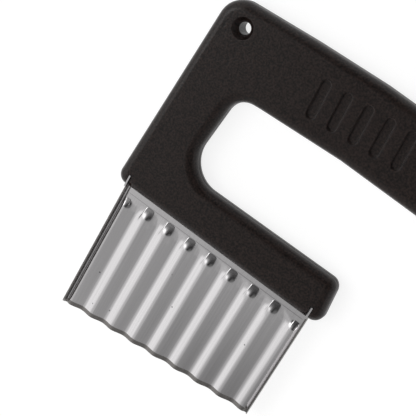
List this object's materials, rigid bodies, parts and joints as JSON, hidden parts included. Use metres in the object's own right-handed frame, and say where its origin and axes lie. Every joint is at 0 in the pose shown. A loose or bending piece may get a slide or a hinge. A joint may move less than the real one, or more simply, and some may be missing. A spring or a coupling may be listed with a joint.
{
  "type": "crinkle cutter",
  "caption": "Hand-held crinkle cutter: flat C-shaped plastic handle open on one side, with a corrugated steel blade in its lower bar and a hanging hole in its upper corner.",
  "frame": {"origin": "middle of the box, on the plane that the rear face lies on", "axes": "+X along the blade from the arm to the open side, +Y from the cutting edge to the grip, +Z from the rear face to the front face"},
  "size_m": [0.1254, 0.1584, 0.0106],
  "materials": {
    "handle_plastic": "fine-grained matte moulding",
    "blade_steel": "bright rolled sheet with a ground edge",
    "fixing_steel": "plain zinc-bright"
  },
  "bodies": {
    "root": {"front_shell": "handle_plastic", "rear_shell": "handle_plastic", "blade": "blade_steel", "tang_pin_1": "fixing_steel", "tang_pin_2": "fixing_steel", "tang_pin_3": "fixing_steel", "shell_screw_1": "fixing_steel", "shell_screw_2": "fixing_steel", "shell_screw_3": "fixing_steel", "shell_screw_4": "fixing_steel", "shell_screw_5": "fixing_steel"}
  },
  "joints": []
}
